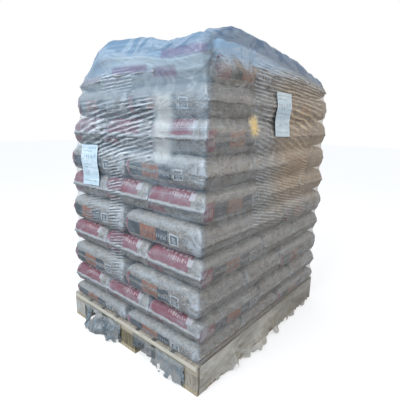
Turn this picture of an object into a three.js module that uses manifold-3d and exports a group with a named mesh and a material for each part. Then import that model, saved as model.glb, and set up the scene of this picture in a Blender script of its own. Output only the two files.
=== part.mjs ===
// A wooden block pallet with ten layers of filled sacks under stretch film.
// Millimetres, +Z up. +X runs along the 1200 side, +Y along the 1000 side,
// and the origin is at the centre of the pallet's footprint, on the floor.

import * as THREE from 'three';
import { mergeVertices } from 'three/addons/utils/BufferGeometryUtils.js';
import Module from 'manifold-3d';

const wasm = await Module();
wasm.setup();

// Pallet
const palletLength = 1200;
const palletWidth = 1000;
const boardThickness = 22;
const blockHeight = 78;
const wideBoard = 145;
const narrowBoard = 100;

// Stack of sacks. The lowest layers are squashed by the load above them.
const stackLength = 1200;
const stackWidth = 1000;
const sackLength = 500;
const layerHeights = [88, 118, 140, 134, 144, 140, 136, 150, 132, 158];
const topShrink = 0.055; // share of its size that the top layer is smaller by
const lean = { x: 0.0135, y: -0.016 }; // how far the load leans, for each unit of height
const sackCorner = 38; // radius of a sack's corners, seen from above
const sackBite = 4; // width over which neighbouring sacks press into one another

// Side view of a sack: share of its height, and how far it lies inside its place
const sackProfile = [
  { share: 0, inset: 30 },
  { share: 0.27, inset: 0 },
  { share: 0.73, inset: 0 },
  { share: 1, inset: 30 },
];
const topSackProfile = [
  { share: 0, inset: 30 },
  { share: 0.25, inset: 0 },
  { share: 0.5, inset: 0 },
  { share: 0.82, inset: 34 },
  { share: 1, inset: 95 },
];

// Film
const filmThickness = 1.2;
const filmClearance = 0.5;
const filmPinch = 16; // how far the film draws in between two layers
const filmBottom = 102; // height of the film's lower edge
const filmHood = { inset: 190, rise: 28, crown: 28 }; // gathered film over the top

// Sheet labels in pouches, each lying against the film over one layer's bulge
const labelWidth = 148;
const labelHeight = 210;
const labelThickness = 1;
const endLabel = { y: 268, z: 949, layer: 5 };
const sideLabel = { x: 20, z: 1219, layer: 7 };

// Loose film: how far each piece trails out from the pallet, and how low it ends
const tailThickness = 2;
const endTails = [
  { y: 330, width: 150, reach: 95, drop: 4 },
  { y: 60, width: 120, reach: 40, drop: 30 },
  { y: -180, width: 110, reach: 20, drop: 46 },
  { y: -410, width: 60, reach: 30, drop: 20 },
];
const skirt = { margin: 40, reach: 22, drop: 5 };

const seatGap = 0.3; // gap between a soft piece and what carries it

const deckTop = 3 * boardThickness + blockHeight;
const stringerBottom = boardThickness + blockHeight;

const wood = new THREE.MeshStandardMaterial({ color: 0xb08a62, roughness: 0.85, metalness: 0 });
const blockWood = new THREE.MeshStandardMaterial({ color: 0xa1805c, roughness: 0.9, metalness: 0 });
const sackFilm = new THREE.MeshStandardMaterial({ color: 0xb5aca0, roughness: 0.5, metalness: 0 });
const wrapFilm = new THREE.MeshStandardMaterial({
  color: 0xdfe6ec,
  roughness: 0.25,
  metalness: 0,
  transparent: true,
  opacity: 0.35,
});
const paper = new THREE.MeshStandardMaterial({ color: 0xe8eef2, roughness: 0.6, metalness: 0 });

const object = new THREE.Group();
object.name = 'pallet_of_sacks';

function addPiece(name, geometry, material) {
  const piece = new THREE.Mesh(geometry, material);
  piece.name = name;
  object.add(piece);
  return piece;
}

// Closed solids and back again
function toSolid(geometry) {
  geometry.deleteAttribute('normal');
  geometry.deleteAttribute('uv');
  const merged = mergeVertices(geometry);
  return new wasm.Manifold(
    new wasm.Mesh({
      numProp: 3,
      vertProperties: new Float32Array(merged.attributes.position.array),
      triVerts: new Uint32Array(merged.index.array),
    })
  );
}

function toGeometry(solid) {
  const mesh = solid.getMesh();
  const geometry = new THREE.BufferGeometry();
  geometry.setAttribute('position', new THREE.BufferAttribute(mesh.vertProperties, 3));
  geometry.setIndex(new THREE.BufferAttribute(mesh.triVerts, 1));
  geometry.computeVertexNormals();
  return geometry;
}

// A closed block whose outline is a rectangle with rounded corners, and whose
// size changes with height. Each level gives its height, its middle and half its
// sides, and a square one keeps its corners, as the film does round the deck.
function roundedBlock(levels, radius, crown = 0) {
  const geometry = new THREE.BoxGeometry(2, 2, 2, 3, 3, levels.length - 1);
  const position = geometry.attributes.position;
  const diagonal = radius * (1 - Math.SQRT1_2);
  for (let i = 0; i < position.count; i++) {
    const u = position.getX(i);
    const v = position.getY(i);
    const level = levels[Math.round(((position.getZ(i) + 1) / 2) * (levels.length - 1))];
    const edgeX = Math.abs(u) > 0.9;
    const edgeY = Math.abs(v) > 0.9;
    const cornerInset = level.square ? 0 : diagonal;
    const insetX = edgeX && edgeY ? cornerInset : edgeX ? 0 : radius;
    const insetY = edgeX && edgeY ? cornerInset : edgeY ? 0 : radius;
    const onTop = !edgeX && !edgeY && level === levels[levels.length - 1];
    position.setXYZ(
      i,
      level.x + Math.sign(u) * (level.halfX - insetX),
      level.y + Math.sign(v) * (level.halfY - insetY),
      level.z + (onTop ? crown : 0)
    );
  }
  return geometry;
}

// Pallet: three bottom boards, nine blocks, three stringer boards, seven deck boards
function addBoard(name, sizeX, sizeY, sizeZ, centreX, centreY, bottomZ, material) {
  const board = addPiece(name, new THREE.BoxGeometry(sizeX, sizeY, sizeZ), material);
  board.position.set(centreX, centreY, bottomZ + sizeZ / 2);
}

function rowCentres(widths, total) {
  const gap = (total - widths.reduce((sum, width) => sum + width, 0)) / (widths.length - 1);
  let edge = -total / 2;
  return widths.map((width) => {
    const centre = edge + width / 2;
    edge += width + gap;
    return centre;
  });
}

function addPallet() {
  const runnerWidths = [narrowBoard, wideBoard, narrowBoard];
  const runnerCentres = rowCentres(runnerWidths, palletWidth);
  const stringerCentres = rowCentres([wideBoard, wideBoard, wideBoard], palletLength);
  const deckWidths = [wideBoard, narrowBoard, narrowBoard, wideBoard, narrowBoard, narrowBoard, wideBoard];
  const deckCentres = rowCentres(deckWidths, palletWidth);

  runnerWidths.forEach((width, row) => {
    addBoard(`bottom_board_${row + 1}`, palletLength, width, boardThickness, 0, runnerCentres[row], 0, wood);
    stringerCentres.forEach((x, column) => {
      const name = `block_${row * 3 + column + 1}`;
      addBoard(name, wideBoard, width, blockHeight, x, runnerCentres[row], boardThickness, blockWood);
    });
  });
  stringerCentres.forEach((x, i) => {
    addBoard(`stringer_board_${i + 1}`, wideBoard, palletWidth, boardThickness, x, 0, stringerBottom, wood);
  });
  deckWidths.forEach((width, i) => {
    const bottomZ = stringerBottom + boardThickness;
    addBoard(`deck_board_${i + 1}`, palletLength, width, boardThickness, 0, deckCentres[i], bottomZ, wood);
  });
}

const layerCount = layerHeights.length;

function layerBase(index) {
  return layerHeights.slice(0, index).reduce((sum, height) => sum + height, deckTop);
}

// The load leans a little, more with each layer
function layerShift(index) {
  const height = layerBase(index) + layerHeights[index] / 2 - deckTop;
  return { x: lean.x * height, y: lean.y * height };
}

// The stack narrows a little towards its top, where the film pulls it in
function layerScale(index) {
  return 1 - topShrink * Math.pow(index / (layerCount - 1), 4);
}

function profileOf(index) {
  return index === layerCount - 1 ? topSackProfile : sackProfile;
}

function layerHalfX(index) {
  return (stackLength / 2) * layerScale(index);
}

function layerHalfY(index) {
  return (stackWidth / 2) * layerScale(index);
}

// Seven sacks to a layer: three lie along X at one end, and four lie along Y
// in two rows at the other end. Every other layer is turned by half a turn.
function sackPlaces(index) {
  const places = [];
  const side = index % 2 === 1 ? 1 : -1;
  const acrossWidth = stackWidth / 3;
  const endWidth = (stackLength - sackLength) / 2;
  for (let i = 0; i < 3; i++) {
    places.push({
      x: side * (-stackLength + sackLength) / 2,
      y: (i - 1) * acrossWidth,
      sizeX: sackLength,
      sizeY: acrossWidth,
    });
  }
  for (let column = 0; column < 2; column++) {
    for (let row = 0; row < 2; row++) {
      places.push({
        x: side * (-stackLength / 2 + sackLength + (column + 0.5) * endWidth),
        y: (row - 0.5) * (stackWidth / 2),
        sizeX: endWidth,
        sizeY: stackWidth / 2,
      });
    }
  }
  const scale = layerScale(index);
  return places.map(({ x, y, sizeX, sizeY }) => ({
    x: x * scale,
    y: y * scale,
    sizeX: sizeX * scale,
    sizeY: sizeY * scale,
  }));
}

function sackSolid(place, profile, bottomZ, height) {
  const levels = profile.map(({ share, inset }) => ({
    z: bottomZ + height * share,
    x: place.x,
    y: place.y,
    halfX: place.sizeX / 2 - inset,
    halfY: place.sizeY / 2 - inset,
  }));
  return toSolid(roundedBlock(levels, sackCorner));
}

// One solid for each layer: its seven sacks, joined where they press together,
// with the grooves between them open above, below and at the sides
function addSackLayers() {
  for (let index = 0; index < layerCount; index++) {
    const bottomZ = layerBase(index) + seatGap;
    const height = layerHeights[index] - seatGap;
    const shift = layerShift(index);
    const halfX = layerHalfX(index);
    const halfY = layerHalfY(index);
    const places = sackPlaces(index).map((place) => {
      const grown = { ...place, sizeX: place.sizeX + sackBite, sizeY: place.sizeY + sackBite };
      const reachX = Math.abs(grown.x) + grown.sizeX / 2 - halfX;
      const reachY = Math.abs(grown.y) + grown.sizeY / 2 - halfY;
      if (reachX > 0) {
        grown.x -= Math.sign(grown.x) * (reachX / 2);
        grown.sizeX -= reachX;
      }
      if (reachY > 0) {
        grown.y -= Math.sign(grown.y) * (reachY / 2);
        grown.sizeY -= reachY;
      }
      return grown;
    });
    const layer = places
      .map((place) => sackSolid(place, profileOf(index), bottomZ, height))
      .reduce((joined, sack) => joined.add(sack))
      .translate([shift.x, shift.y, 0]);
    const name = `sack_layer_${String(index + 1).padStart(2, '0')}`;
    addPiece(name, toGeometry(layer), sackFilm);
  }
}

// Levels of the film, from the pallet's deck over the bulge of every layer
function filmLevels(offset) {
  const deckHalfX = palletLength / 2 + seatGap + offset;
  const deckHalfY = palletWidth / 2 + seatGap + offset;
  const clearance = filmClearance + offset;
  const levels = [
    { z: filmBottom, x: 0, y: 0, halfX: deckHalfX, halfY: deckHalfY, square: true },
    { z: deckTop + seatGap + offset, x: 0, y: 0, halfX: deckHalfX, halfY: deckHalfY, square: true },
  ];
  function addLevel(z, index, inset) {
    const { x, y } = layerShift(index);
    const halfX = layerHalfX(index) + clearance - inset;
    const halfY = layerHalfY(index) + clearance - inset;
    levels.push({ z, x, y, halfX, halfY });
  }
  for (let index = 0; index < layerCount; index++) {
    const base = layerBase(index);
    profileOf(index)
      .slice(1, -1)
      .forEach(({ share, inset }) => addLevel(base + layerHeights[index] * share, index, inset));
    if (index < layerCount - 1) {
      addLevel(base + layerHeights[index], index + 1, filmPinch);
    }
  }
  const top = layerCount - 1;
  const topZ = layerBase(layerCount) + clearance;
  addLevel(topZ, top, topSackProfile[topSackProfile.length - 1].inset);
  addLevel(topZ + filmHood.rise, top, filmHood.inset);
  return levels;
}

function addStretchWrap() {
  const innerCorner = sackCorner + filmClearance;
  const outer = toSolid(roundedBlock(filmLevels(filmThickness), innerCorner + filmThickness, filmHood.crown));
  const innerLevels = filmLevels(0);
  innerLevels[0].z -= boardThickness;
  const inner = toSolid(roundedBlock(innerLevels, innerCorner, filmHood.crown));
  addPiece('stretch_wrap', toGeometry(outer.subtract(inner)), wrapFilm);
}

function addLabels() {
  const facing = filmClearance + filmThickness + seatGap + labelThickness / 2;
  const left = addPiece('label_end', new THREE.BoxGeometry(labelThickness, labelWidth, labelHeight), paper);
  const leftShift = layerShift(endLabel.layer).x;
  left.position.set(leftShift - layerHalfX(endLabel.layer) - facing, endLabel.y, endLabel.z);
  const right = addPiece('label_side', new THREE.BoxGeometry(labelWidth, labelThickness, labelHeight), paper);
  const rightShift = layerShift(sideLabel.layer).y;
  right.position.set(sideLabel.x, rightShift - layerHalfY(sideLabel.layer) - facing, sideLabel.z);
}

// A strip of loose film: a thin profile, given as distance out from the
// pallet's side and height, drawn out to a width
function tailGeometry(profile, width) {
  const shape = new THREE.Shape();
  const [first, ...rest] = profile;
  shape.moveTo(first.out, first.z);
  rest.forEach(({ out, z }) => shape.lineTo(out, z));
  [...profile].reverse().forEach(({ out, z }) => shape.lineTo(out + tailThickness, z + tailThickness / 2));
  const geometry = new THREE.ExtrudeGeometry(shape, { depth: width, bevelEnabled: false });
  geometry.translate(0, 0, -width / 2);
  geometry.rotateX(Math.PI / 2);
  return geometry;
}

// The loose film leaves the wrap's lower edge close to the pallet and trails
// outwards as it falls
function tailProfile(reach, drop) {
  const top = filmBottom - seatGap;
  const seat = seatGap + filmThickness + seatGap;
  return [
    { out: seat, z: top },
    { out: seat + reach / 5, z: (top + drop) / 2 },
    { out: seat + reach, z: drop },
  ];
}

function addLooseFilm() {
  endTails.forEach(({ y, width, reach, drop }, i) => {
    const tail = addPiece(`film_tail_${i + 1}`, tailGeometry(tailProfile(reach, drop), width), wrapFilm);
    tail.rotation.z = Math.PI;
    tail.position.set(-palletLength / 2, y, 0);
  });
  const skirtProfile = tailProfile(skirt.reach, skirt.drop);
  const side = addPiece('film_skirt', tailGeometry(skirtProfile, palletLength - 2 * skirt.margin), wrapFilm);
  side.rotation.z = -Math.PI / 2;
  side.position.set(0, -palletWidth / 2, 0);
}

addPallet();
addSackLayers();
addStretchWrap();
addLabels();
addLooseFilm();

export default object;
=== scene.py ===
import math
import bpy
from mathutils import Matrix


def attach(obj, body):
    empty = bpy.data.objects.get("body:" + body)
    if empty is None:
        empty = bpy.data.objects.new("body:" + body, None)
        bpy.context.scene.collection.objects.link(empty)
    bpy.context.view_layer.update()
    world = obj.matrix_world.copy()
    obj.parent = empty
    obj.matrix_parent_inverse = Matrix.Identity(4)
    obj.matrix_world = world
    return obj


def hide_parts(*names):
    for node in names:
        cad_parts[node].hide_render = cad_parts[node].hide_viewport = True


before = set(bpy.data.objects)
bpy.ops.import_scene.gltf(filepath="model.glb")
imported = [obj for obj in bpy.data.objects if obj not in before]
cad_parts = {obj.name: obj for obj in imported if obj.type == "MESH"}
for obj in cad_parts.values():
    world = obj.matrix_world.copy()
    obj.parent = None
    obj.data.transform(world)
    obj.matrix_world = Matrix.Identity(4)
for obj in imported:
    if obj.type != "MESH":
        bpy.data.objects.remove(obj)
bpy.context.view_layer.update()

from types import SimpleNamespace

import bmesh
import bpy
from mathutils import Matrix, Vector
from mathutils.bvhtree import BVHTree
from mathutils.noise import noise_vector, seed_set
import numpy as np


# Small helpers for working with operators

def deselectAll():
    if bpy.context.object and bpy.context.object.mode != "OBJECT":
        bpy.ops.object.mode_set(mode="OBJECT")
    bpy.ops.object.select_all(action="DESELECT")


def pick(piece):
    deselectAll()
    piece.select_set(True)
    bpy.context.view_layer.objects.active = piece


def addGrid(name, columns, rows):
    # A flat grid that runs from -1 to 1 both ways
    deselectAll()
    bpy.ops.mesh.primitive_grid_add(x_subdivisions=columns, y_subdivisions=rows, size=2)
    piece = bpy.context.object
    piece.name = name
    return piece


def selectFaces(piece, isChosen):
    # Leaves the piece in edit mode with the chosen faces selected
    pick(piece)
    bpy.ops.object.mode_set(mode="EDIT")
    bpy.ops.mesh.select_all(action="DESELECT")
    bpy.ops.object.mode_set(mode="OBJECT")
    for face in piece.data.polygons:
        face.select = isChosen(face)
    bpy.ops.object.mode_set(mode="EDIT")


def pointsOf(mesh):
    points = np.empty(len(mesh.vertices) * 3)
    mesh.vertices.foreach_get("co", points)
    return points.reshape(-1, 3)


def setPoints(mesh, points):
    mesh.vertices.foreach_set("co", np.ascontiguousarray(points, dtype=float).ravel())
    mesh.update()


def cornersOf(mesh):
    # The number of the vertex at each face corner
    corners = np.empty(len(mesh.loops), dtype=int)
    mesh.loops.foreach_get("vertex_index", corners)
    return corners


def setMap(mesh, u, v):
    printMap = mesh.uv_layers[0]
    printMap.name = "printMap"
    printMap.uv.foreach_set("vector", np.stack([u, v], 1).astype(np.float32).ravel())


def gridPlaces(mesh, columns, rows):
    # The column and the row of each vertex of a grid
    grid = pointsOf(mesh)
    column = np.round((grid[:, 0] + 1) / 2 * columns).astype(int)
    row = np.round((grid[:, 1] + 1) / 2 * rows).astype(int)
    return column, row


def searchTree(pieces):
    # One search tree over all these pieces
    together = bmesh.new()
    for piece in pieces:
        together.from_mesh(piece.data)
    tree = BVHTree.FromBMesh(together)
    together.free()
    return tree


deselectAll()

# Camera, matched to the corners of the pallet in the photograph

photoCamera = {
    "place": (-1.547, -1.305, 1.170),
    "yaw": 49.53,  # degrees from +Y towards +X
    "pitch": 12.81,  # degrees below the horizon
    "roll": 0.98,
    "focalPixels": 335.3,  # for a picture 400 pixels wide
    "pictureWidth": 400,
    "sensor": 36.0,
}


def makeCamera():
    yaw, pitch, roll = (math.radians(photoCamera[key]) for key in ("yaw", "pitch", "roll"))
    forward = Vector((math.sin(yaw) * math.cos(pitch), math.cos(yaw) * math.cos(pitch), -math.sin(pitch)))
    level = Vector((math.cos(yaw), -math.sin(yaw), 0))
    upright = level.cross(forward)
    right = math.cos(roll) * level + math.sin(roll) * upright
    up = math.cos(roll) * upright - math.sin(roll) * level
    turn = Matrix((right, up, -forward)).transposed().to_4x4()
    turn.translation = Vector(photoCamera["place"])
    bpy.ops.object.camera_add()
    camera = bpy.context.object
    camera.matrix_world = turn
    camera.data.sensor_width = photoCamera["sensor"]
    camera.data.lens = photoCamera["focalPixels"] / photoCamera["pictureWidth"] * photoCamera["sensor"]
    bpy.context.scene.camera = camera


makeCamera()
print("camera set")

# Node-building helpers


def startMaterial(name):
    material = bpy.data.materials.new(name)
    material.use_nodes = True
    tree = material.node_tree
    return material, tree, tree.nodes["Principled BSDF"]


def isSocket(value):
    return isinstance(value, bpy.types.NodeSocket)


def treeOf(values):
    # The node tree of the first of these values that is a socket
    return next(value.id_data for value in values if isSocket(value))


def feed(value, socket):
    if isSocket(value):
        socket.id_data.links.new(value, socket)
    else:
        socket.default_value = value


def finish(surface, values):
    for name, value in values.items():
        feed(value, surface.inputs[name])


def addNode(tree, kind, *values, out=0, **settings):
    # Values go to the inputs in turn, and None leaves an input as it is
    node = tree.nodes.new(kind)
    for key, value in settings.items():
        setattr(node, key, value)
    for index, value in enumerate(values):
        if value is not None:
            feed(value, node.inputs[index])
    return node.outputs[out]


def calc(operation, *values, clamp=False):
    return addNode(treeOf(values), "ShaderNodeMath", *values, operation=operation, use_clamp=clamp)


def plus(first, second, clamp=False):
    return calc("ADD", first, second, clamp=clamp)


def minus(first, second):
    return calc("SUBTRACT", first, second)


def times(first, second, clamp=False):
    return calc("MULTIPLY", first, second, clamp=clamp)


def timesPlus(value, factor, added):
    return calc("MULTIPLY_ADD", value, factor, added)


def mixValue(factor, first, second):
    return addNode(factor.id_data, "ShaderNodeMix", factor, None, first, second)


def mixColour(factor, first, second, blend="MIX"):
    # The two colours are the sixth and seventh input after the factor
    return addNode(
        treeOf((factor, first, second)), "ShaderNodeMix", factor, *[None] * 5, first, second,
        out=2, data_type="RGBA", blend_type=blend,
    )


def remap(value, low, high, toLow=0.0, toHigh=1.0, smooth=True):
    return addNode(
        value.id_data, "ShaderNodeMapRange", value, low, high, toLow, toHigh,
        interpolation_type="SMOOTHSTEP" if smooth else "LINEAR",
    )


def noise(vector, scale, detail=3.0, roughness=0.55, distortion=0.0):
    # None stands for the fourth coordinate, and then for lacunarity, offset and gain
    values = vector, None, scale, detail, roughness, None, None, None, distortion
    return addNode(vector.id_data, "ShaderNodeTexNoise", *values)


def stretched(vector, scale, turn=(0, 0, 0)):
    return addNode(vector.id_data, "ShaderNodeMapping", vector, None, turn, scale)


def bump(height, strength, distance, normal=None):
    return addNode(height.id_data, "ShaderNodeBump", strength, distance, None, height, normal)


def objectPoint(tree):
    return addNode(tree, "ShaderNodeTexCoord", out=3)


def axesOf(vector):
    return addNode(vector.id_data, "ShaderNodeSeparateXYZ", vector).node.outputs


def facing(tree):
    # The x, y and z of the way that the surface faces
    return axesOf(addNode(tree, "ShaderNodeTexCoord", out=1))


def printPlace(tree):
    # A place on the piece's own map, and its u and v
    place = addNode(tree, "ShaderNodeUVMap", uv_map="printMap")
    u, v, _ = axesOf(place)
    return place, u, v


def startGroup(name, inputs, outputs):
    # Inputs come with their defaults, and None stands for a vector
    group = bpy.data.node_groups.new(name, "ShaderNodeTree")
    for label, default in inputs.items():
        kind = "NodeSocketVector" if default is None else "NodeSocketFloat"
        socket = group.interface.new_socket(label, in_out="INPUT", socket_type=kind)
        if default is not None:
            socket.default_value = default
    for label in outputs:
        kind = "NodeSocketColor" if label == "Color" else "NodeSocketFloat"
        group.interface.new_socket(label, in_out="OUTPUT", socket_type=kind)
    start = group.nodes.new("NodeGroupInput")
    end = group.nodes.new("NodeGroupOutput")
    return group, start.outputs, end.inputs


def useGroup(group, **values):
    node = treeOf(values.values()).nodes.new("ShaderNodeGroup")
    node.node_tree = group
    for label, value in values.items():
        feed(value, node.inputs[label])
    return node.outputs


# Shared effects


def makePatchGroup():
    # 1 inside a rectangle of a sheet, 0 outside, with an edge as soft as is asked for
    inputs = {"U": 0.0, "V": 0.0, "LowU": 0.0, "HighU": 1.0, "LowV": 0.0, "HighV": 1.0, "Soft": 0.0005}
    group, given, result = startGroup("printedPatch", inputs, ["Mask"])
    sides = []
    for axis, low, high in (("U", "LowU", "HighU"), ("V", "LowV", "HighV")):
        lowEnds = minus(given[low], given["Soft"]), plus(given[low], given["Soft"])
        highEnds = minus(given[high], given["Soft"]), plus(given[high], given["Soft"])
        sides.append(times(remap(given[axis], *lowEnds), remap(given[axis], *highEnds, 1.0, 0.0)))
    feed(times(*sides), result["Mask"])
    return group


def makeBlockRowGroup():
    # A row of plain blocks of uneven width and height, in place of lettering
    inputs = {"Along": 0.0, "Across": 0.0, "Count": 9.0, "Seed": 0.0}
    group, given, result = startGroup("blockRow", inputs, ["Mask"])
    scaled = times(given["Along"], given["Count"])
    cell = plus(calc("FLOOR", scaled), given["Seed"])
    inCell = calc("FRACT", scaled)
    random = addNode(group, "ShaderNodeTexWhiteNoise", None, cell, out=1, noise_dimensions="1D")
    width, lower, upper = addNode(group, "ShaderNodeSeparateColor", random).node.outputs
    mask = times(calc("GREATER_THAN", inCell, 0.12), calc("LESS_THAN", inCell, timesPlus(width, 0.45, 0.45)))
    mask = times(mask, calc("GREATER_THAN", given["Across"], times(lower, 0.35)))
    mask = times(mask, calc("LESS_THAN", given["Across"], minus(1.0, times(upper, 0.35))))
    for axis in ("Along", "Across"):
        mask = times(mask, calc("GREATER_THAN", given[axis], 0.0))
        mask = times(mask, calc("LESS_THAN", given[axis], 1.0))
    feed(mask, result["Mask"])
    return group


pelletTones = (0.205, 0.180, 0.155, 1), (0.41, 0.365, 0.315, 1)  # the darkest and the lightest


def makePelletGroup():
    # Short wooden pellets pressed against a clear film: cell colour and height
    inputs = {"Vector": None, "Scale": 120.0}
    group, given, result = startGroup("pelletFill", inputs, ["Color", "Height"])
    tones, distances = [], []
    for scale, turn in (((1.0, 0.45, 1.0), (0.6, 0.2, 0.9)), ((0.5, 1.0, 1.0), (1.9, 0.7, 0.3))):
        lying = stretched(given["Vector"], scale, turn=turn)
        cells = addNode(group, "ShaderNodeTexVoronoi", lying, None, given["Scale"]).node.outputs
        tones.append(addNode(group, "ShaderNodeSeparateColor", cells["Color"]))
        distances.append(cells["Distance"])
    isSecond = calc("GREATER_THAN", noise(given["Vector"], 55.0, 1.0), 0.5)
    tone = mixColour(isSecond, *tones)
    distance = mixColour(isSecond, *distances)
    broad = noise(given["Vector"], 7.0, 4.0)
    shade = remap(plus(times(tone, 0.55), times(broad, 0.55)), 0.2, 0.9, smooth=False)
    wood = mixColour(shade, *pelletTones)
    # painted shade: the colour is darker in the gaps between pellets
    gap = remap(distance, 0.3, 0.75, 1.0, 0.5)
    feed(mixColour(1.0, wood, gap, "MULTIPLY"), result["Color"])
    feed(minus(1.0, distance), result["Height"])
    return group


def makeCreaseGroup():
    # Sharp, branching creases of thin film, as a height
    group, given, result = startGroup("filmCreases", {"Vector": None, "Scale": 12.0}, ["Height"])
    bent = noise(given["Vector"], given["Scale"], 5.0, 0.6, 1.2)
    ridge = calc("ABSOLUTE", minus(bent, 0.5))
    feed(remap(ridge, 0.0, 0.11, 1.0, 0.0), result["Height"])
    return group


patchGroup = makePatchGroup()
blockRowGroup = makeBlockRowGroup()
pelletGroup = makePelletGroup()
creaseGroup = makeCreaseGroup()


def patchMask(u, v, box, soft=0.0005):
    lowU, highU, lowV, highV = box[:4]
    return useGroup(patchGroup, U=u, V=v, LowU=lowU, HighU=highU, LowV=lowV, HighV=highV, Soft=soft)["Mask"]


def blockMask(alongAxis, alongRange, acrossAxis, acrossRange, count, seed):
    # Past its range a value stays just below 0 or just above 1, where the row has no blocks
    along = remap(alongAxis, *alongRange, -0.001, 1.001, smooth=False)
    across = remap(acrossAxis, *acrossRange, -0.001, 1.001, smooth=False)
    return useGroup(blockRowGroup, Along=along, Across=across, Count=count, Seed=seed)["Mask"]


# Sacks: a flat tube of film, sealed at both ends, is filled by a cloth simulation
# inside the room that one sack has in its layer

sackForm = {
    "flatLength": 0.625,
    "flatWidth": 0.450,
    "cell": 0.0117,  # spacing of the mesh
    "inset": (0.004, 0.004, 0.006),  # how far the unfilled sack stays inside its full size
    "roomGap": 0.004,  # how much larger than a full sack its room is
    "grain": 0.0005,  # roughness of the unfilled sheets
    "length": 0.500,
    "width": 0.3333,
    "height": 0.134,
    "sheetGap": 0.0015,  # half the gap between the two sheets at their edges
    "belly": 0.004,
    "endRound": 0.040,
    "sideRound": 0.026,
    "waves": (0.0015, 0.003, 0.002, 0.0025),  # unevenness of each master before it is filled
    "pressures": (8, 12, 9, 11),
    "frames": 20,
    "cap": 0.04,  # how far a point of the sheet may move
    "sealDrop": 0.010,  # how far the folded seal hangs down the end
    "sealStand": 0.005,
    "sealThickness": 0.0012,
}


def makeFlatSack(seed):
    form = sackForm
    columns = round(form["flatLength"] / form["cell"])
    rows = round(form["flatWidth"] / form["cell"])
    sack = addGrid(f"sackMaster{seed}", columns, rows)
    bpy.ops.object.mode_set(mode="EDIT")
    bpy.ops.mesh.select_all(action="SELECT")
    bpy.ops.mesh.extrude_region_move(TRANSFORM_OT_translate={"value": (0, 0, 1)})
    bpy.ops.mesh.select_all(action="SELECT")
    bpy.ops.mesh.normals_make_consistent(inside=False)
    bpy.ops.object.mode_set(mode="OBJECT")
    return sack


def layPrintMap(sack):
    # u runs along the sack. v runs across its upper sheet from 0 to 1 and back
    # across its lower sheet, and the edges between them, from 1 to 2
    mesh = sack.data
    share = (pointsOf(mesh)[cornersOf(mesh)] + 1) / 2
    lower = np.zeros(len(mesh.loops), dtype=bool)
    for face in mesh.polygons:
        lower[face.loop_start:face.loop_start + face.loop_total] = face.normal.z < 0.5
    setMap(mesh, share[:, 0], np.where(lower, 2 - share[:, 1], share[:, 1]))


def edgeRoll(share, half, flatHalf, radius):
    # Place along one axis, and the share of its height that the sheet has reached,
    # of a sheet that climbs from its fold and rolls over a round edge
    top = sackForm["height"] / 2 - sackForm["inset"][2]
    belly = sackForm["belly"]
    straight = top - radius
    arc = radius * math.pi / 2
    fromFold = (1 - np.abs(share)) * flatHalf
    angle = np.clip((fromFold - straight) / radius, 0, math.pi / 2)
    climb = half - belly * np.clip(fromFold / straight, 0, 1) ** 2
    place = np.where(fromFold < straight, climb, half - belly - radius + radius * np.cos(angle))
    inner = (half - belly - radius) * (flatHalf - fromFold) / (flatHalf - straight - arc)
    place = np.where(fromFold > straight + arc, inner, place)
    rise = np.where(fromFold < straight, fromFold, straight + radius * np.sin(angle))
    return np.sign(share) * place, rise / top


def gentleWaves(share, rng, count=6):
    waves = np.zeros(len(share))
    for _ in range(count):
        pitch = rng.uniform(6, 27, 2)
        phase = rng.uniform(0, 6.28, 2)
        waves += np.sin(pitch[0] * share[:, 0] + phase[0]) * np.sin(pitch[1] * share[:, 1] + phase[1])
    return waves / math.sqrt(count)


def shapeKeys(sack, seed):
    form = sackForm
    mesh = sack.data
    rng = np.random.default_rng(seed + 1)
    share = pointsOf(mesh)
    side = np.where(share[:, 2] > 0.5, 1.0, -1.0)
    gap = form["sheetGap"]
    flatHalf = form["flatLength"] / 2, form["flatWidth"] / 2
    flat = np.column_stack([share[:, :2] * flatHalf, side * gap])
    half = np.array([form["length"], form["width"], form["height"]]) / 2 - form["inset"]
    x, riseX = edgeRoll(share[:, 0], half[0], flatHalf[0], form["endRound"])
    y, riseY = edgeRoll(share[:, 1], half[1], flatHalf[1], form["sideRound"])
    rise = np.minimum(riseX, riseY) * 0.8 + riseX * riseY * 0.2
    start = np.stack([x, y, side * (gap + (half[2] - gap) * rise)], 1)
    start += rng.normal(0, form["grain"], share.shape)
    for axis in range(3):
        start[:, axis] += form["waves"][seed] * gentleWaves(share, rng)
    sack.shape_key_add(name="Basis", from_mix=False)
    restKey = sack.shape_key_add(name="flat", from_mix=False)
    restKey.data.foreach_set("co", flat.ravel())
    mesh.shape_keys.key_blocks["Basis"].data.foreach_set("co", start.ravel())
    setPoints(mesh, start)
    return restKey


def makeRoom():
    # The walls that the neighbours, the film and the layers above and below make
    form = sackForm
    deselectAll()
    bpy.ops.mesh.primitive_cube_add(size=1)
    room = bpy.context.object
    room.scale = [form[key] + form["roomGap"] for key in ("length", "width", "height")]
    bpy.ops.object.transform_apply(scale=True)
    bpy.ops.object.mode_set(mode="EDIT")
    bpy.ops.mesh.select_all(action="SELECT")
    bpy.ops.mesh.flip_normals()
    bpy.ops.object.mode_set(mode="OBJECT")
    room.modifiers.new("walls", "COLLISION")
    room.collision.thickness_outer = 0.002
    room.collision.thickness_inner = 0.02
    room.collision.cloth_friction = 2
    return room


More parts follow.
